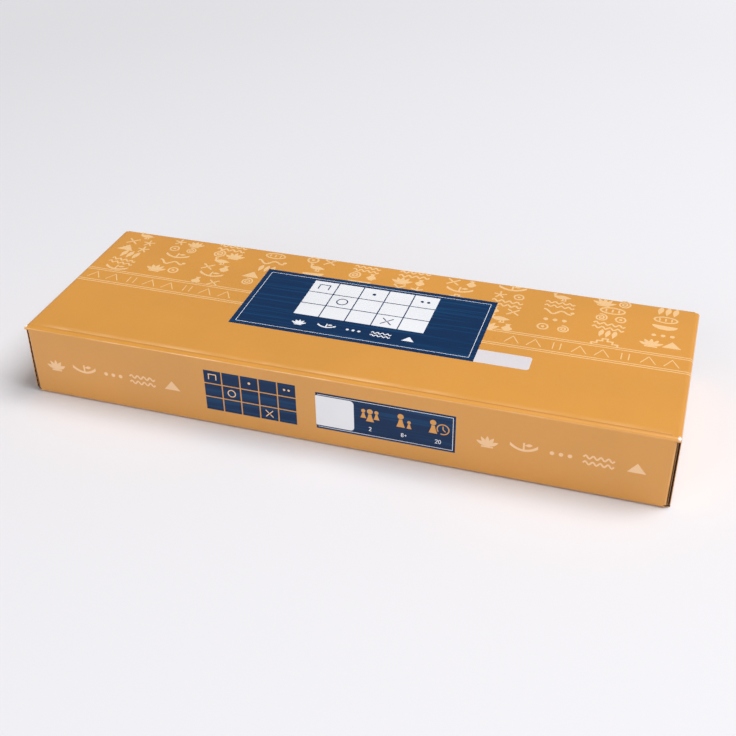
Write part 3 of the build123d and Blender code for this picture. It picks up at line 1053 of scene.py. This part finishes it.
print_ink("top_ornaments", pale_ink, ornaments(), on_top)
print_ink("top_band", pale_ink, band(), on_top)
print_ink("top_navy_panel", navy_ink, [panel(NAVY_LEFT, NAVY_RIGHT, NAVY_LOW, NAVY_HIGH)], on_top, 1)
border = NAVY_LEFT + INSET, NAVY_RIGHT - INSET, NAVY_LOW + INSET, NAVY_HIGH - INSET
print_ink("top_navy_border", white_ink, [frame_line(*border, BORDER_PEN)], on_top, 2)

TOP_GRID = -41.0, 37.6, -4.9, 34.8  # left, right, low and high
FRONT_GRID = -72.8, -18.0, 10.0, 37.2
GRID_GAP = 0.7


def game_grid(left, right, low, high):
    """Five by three squares with gaps between them."""
    drawing = []
    wide, tall = (right - left) / 5, (high - low) / 3
    for column in range(5):
        for row in range(3):
            x0, y0 = left + column * wide + GRID_GAP / 2, low + row * tall + GRID_GAP / 2
            drawing.append(panel(x0, x0 + wide - GRID_GAP, y0, y0 + tall - GRID_GAP))
    return drawing


def grid_marks(left, right, low, high, size, pen):
    """Marks in some squares: crossed lines, a ring, dots and a gate."""
    wide, tall = (right - left) / 5, (high - low) / 3

    def middle(column, row):
        return left + (column + 0.5) * wide, low + (row + 0.5) * tall

    lines = [(-1, -1), (1, 1)], [(-1, 1), (-0.2, 0.2)], [(0.2, -0.2), (1, -1)]
    cross = [stroke(line, pen) for line in lines]
    pair = [disc(0.32, x) for x in (-0.6, 0.6)]
    gate = [stroke([(-1, -0.8), (-1, 0.8), (1, 0.8), (1, -0.8)], pen)]
    drawing = moved(cross, *middle(3, 0), size)
    drawing += moved([ring(1.0, pen)], *middle(1, 1), size)
    drawing += moved(pair, *middle(4, 2), size)
    drawing += moved([disc(0.36)], *middle(2, 2), size)
    drawing += moved(gate, *middle(0, 2), size)
    return drawing


print_ink("top_game_grid", white_ink, game_grid(*TOP_GRID), on_top, 2)
print_ink("top_grid_marks", navy_ink, grid_marks(*TOP_GRID, 3.2, 0.22), on_top, 3)

SIGNS = (lotus, boat, dots, ripples, pyramid)


def sign_row(first, last, y, size):
    """The five signs in a row, from one place to another."""
    drawing = []
    for x, motif in zip(np.linspace(first, last, len(SIGNS)), SIGNS):
        drawing += moved(motif(), x, y, size)
    return drawing


print_ink("top_sign_row", white_ink, sign_row(-34, 31, -12.8, 0.78), on_top, 2)
print_ink("top_label", label_print, [panel(NAVY_RIGHT, 100.8, -24.2, -11.6, right_corner=1.8)], on_top, 1)

# ---- print on the front ---------------------------------------------------------------------------
print_ink("front_sign_row_left", pale_front_ink_painted_light, sign_row(-167, -93, 21.6, 1.05), on_front)
print_ink("front_sign_row_right", pale_front_ink_painted_light, sign_row(88, 165, 22.6, 1.05), on_front)
print_ink("front_game_grid", navy_ink, game_grid(*FRONT_GRID), on_front)
print_ink("front_grid_marks", pale_front_ink_painted_light, grid_marks(*FRONT_GRID, 2.2, 0.26), on_front, 1)

INFO_LEFT, INFO_RIGHT, INFO_LOW, INFO_HIGH = -6.8, 71.0, 11.0, 35.0
INFO_PEN = 0.3


def pawn(x, y, size):
    """A game pawn: a round head over a body whose half width grows as a power of the way down."""
    up = np.linspace(-1.45, 0.85, 13)
    spread = 0.42 + 0.68 * ((0.85 - up) / 2.3) ** 1.4
    grid, closed = fill(up, -spread, spread)
    return moved([(grid[..., ::-1], closed), disc(0.78, 0, 1.72)], x, y, size)


def digits(text, x, y, size):
    """Plain numbers, drawn as strokes in a cell one wide and two high, around x."""
    drawing = []
    turn = np.linspace(0, 2 * math.pi, 17)[:-1]
    for index, letter in enumerate(text):
        shift = 1.5 * (index - (len(text) - 1) / 2)
        pen = 0.3
        if letter == "2":
            arc = unit(np.radians(np.linspace(170, -40, 9))) * 0.5 + (0, 0.5)
            marks = [stroke(np.vstack([arc, [(-0.5, -1), (0.55, -1)]]), pen)]
        elif letter == "8":
            marks = [ring(0.45, pen, 0, 0.52), ring(0.5, pen, 0, -0.45)]
        elif letter == "0":
            marks = [stroke(unit(turn) * (0.5, 0.98), pen, closed=True)]
        else:
            marks = [stroke([(-0.5, 0), (0.5, 0)], pen), stroke([(0, -0.5), (0, 0.5)], pen)]
        drawing += moved(marks, x + shift * size, y, size)
    return drawing


def clock(x, y, radius):
    """An open ring, round two hands."""
    turn = np.radians(np.linspace(215, -115, 30))
    hands = stroke([(0, 0.66), (0, 0), (0.42, -0.42)], 0.18)
    return moved([stroke(unit(turn), 0.2), hands], x, y, radius)


print_ink("front_info_panel", navy_ink, [panel(INFO_LEFT, INFO_RIGHT, INFO_LOW, INFO_HIGH)], on_front)
upper_line = [(INFO_LEFT + 1, INFO_HIGH - 1.3), (INFO_RIGHT - 1.4, INFO_HIGH - 1.3)]
lower_line = [(INFO_RIGHT - 1.4, INFO_LOW + 1.3), (INFO_LEFT + 1, INFO_LOW + 1.3)]
print_ink("front_info_border", white_ink, [stroke(upper_line + lower_line, INFO_PEN)], on_front, 1)
bare_label = panel(INFO_LEFT - 0.2, 14.8, 13.2, 33.0, left_corner=0.8, right_corner=2.2)
print_ink("front_info_label", white_ink, [bare_label], on_front, 2)
pawns = pawn(20.2, 25.6, 1.5) + pawn(27.6, 25.6, 1.5) + pawn(23.9, 24.6, 2.1)
pawns += pawn(41.0, 24.8, 2.2) + pawn(45.6, 23.4, 1.3)
pawns += pawn(58.8, 24.8, 2.2) + clock(64.2, 25.0, 3.2)
captions = digits("2", 23.9, 16.6, 1.2) + digits("8+", 42.8, 16.5, 1.2) + digits("20", 61.6, 16.4, 1.2)
print_ink("front_pictograms", sleeve_print, pawns, on_front, 1)
print_ink("front_captions", white_ink, captions, on_front, 1)

# ---- print on the closures ------------------------------------------------------------------------
def closure_lines(side, name):
    """The band's double lines, which run on from the top down a closure."""
    strip = closure_strip(side, foot=tuck_centre)
    shells = []
    for y in (BAND_LOW, BAND_HIGH):
        for shift in (-BAND_GAP / 2, BAND_GAP / 2):
            across = strip.across(y + shift - BAND_LINE / 2, y + shift + BAND_LINE / 2, 2)
            shells.append((*shell(strip.grid(across, INK_DEPTH), strip.grid(across, INK_BACK)), 0))
    lines = make_piece(f"{name}_closure_lines", [pale_ink], shells)
    hang(lines, "carton", f"{name}_closure", *closure_fold(side))


for side, name in ENDS:
    closure_lines(side, name)

# ---- floor, light and camera ----------------------------------------------------------------------
FLOOR_SHADE = colour(230, 229, 233)
SKY = 0.22
BACKDROP = 0.9
LAMPS = (  # name, width in m, power, place
    ("softbox", 2.4, 135.0, (1.7, 0.35, 3.2)),
    ("fill", 1.6, 15.0, (-0.4, -2.0, 0.8)),
)
FLOOR_REACH = 30.0
FAR_GLOW = (0.6, 0.6, 0.61, 1)  # evens out the far floor, as a studio's sweep does
GLOW_START, GLOW_END = 0.65, 2.3  # m from the middle

floor_finish = Finish("studio_floor", roughness=0.9, emission_strength=1.0)
floor_finish.surface("Base Color", FLOOR_SHADE)
floor_place = {0: floor_finish.objects()}
from_middle = floor_finish.node("ShaderNodeVectorMath", floor_place, output="Value", operation="LENGTH")
floor_glow = floor_finish.between(from_middle, GLOW_START, GLOW_END)
floor_finish.surface("Emission Color", floor_finish.mix(floor_glow, (0, 0, 0, 1), FAR_GLOW))
floor_corners = np.array([(-1, -1, 0), (1, -1, 0), (1, 1, 0), (-1, 1, 0)]) * FLOOR_REACH
floor_mesh = bpy.data.meshes.new("studio_floor")
floor_mesh.from_pydata(floor_corners.tolist(), [], [(0, 1, 2, 3)])
floor_mesh.materials.append(floor_finish.material)
floor = bpy.data.objects.new("studio_floor", floor_mesh)
bpy.context.scene.collection.objects.link(floor)

world = bpy.data.worlds.new("studio_air")
world.use_nodes = True
bpy.context.scene.world = world
nodes, links = world.node_tree.nodes, world.node_tree.links
background = nodes["Background"]
background.inputs["Color"].default_value = (1, 1, 1, 1)
path = nodes.new("ShaderNodeLightPath")
strength = nodes.new("ShaderNodeMapRange")
strength.inputs["To Min"].default_value = SKY
strength.inputs["To Max"].default_value = BACKDROP
links.new(path.outputs["Is Camera Ray"], strength.inputs["Value"])
links.new(strength.outputs["Result"], background.inputs["Strength"])

for name, size, power, place in LAMPS:
    lamp = bpy.data.lights.new(name, "AREA")
    lamp.size = size
    lamp.energy = power
    light = bpy.data.objects.new(name, lamp)
    light.location = place
    light.rotation_euler = Vector(place).to_track_quat("Z", "Y").to_euler()
    bpy.context.scene.collection.objects.link(light)

CAMERA_AZIMUTH = math.radians(18.2193)
CAMERA_ELEVATION = math.radians(34.4099)
CAMERA_ROLL = math.radians(-0.98185)
CAMERA_PLACE = Vector((173.0836, -517.3732, 384.5376)) * MM
LENS = 54.7486

level = Vector((math.cos(CAMERA_AZIMUTH), math.sin(CAMERA_AZIMUTH), 0))
forward = Vector((-level.y, level.x, 0))
ahead = math.cos(CAMERA_ELEVATION) * forward - math.sin(CAMERA_ELEVATION) * Vector(Z)
upward = level.cross(ahead)
right = math.cos(CAMERA_ROLL) * level + math.sin(CAMERA_ROLL) * upward
above = -math.sin(CAMERA_ROLL) * level + math.cos(CAMERA_ROLL) * upward
turn = Matrix((right, above, -ahead)).transposed().to_4x4()
camera = bpy.data.objects.new("camera", bpy.data.cameras.new("camera"))
camera.data.lens = LENS
camera.matrix_world = Matrix.Translation(CAMERA_PLACE) @ turn
camera.data.clip_start = 0.01
bpy.context.scene.collection.objects.link(camera)
bpy.context.scene.camera = camera
bpy.context.scene.view_settings.view_transform = "Standard"
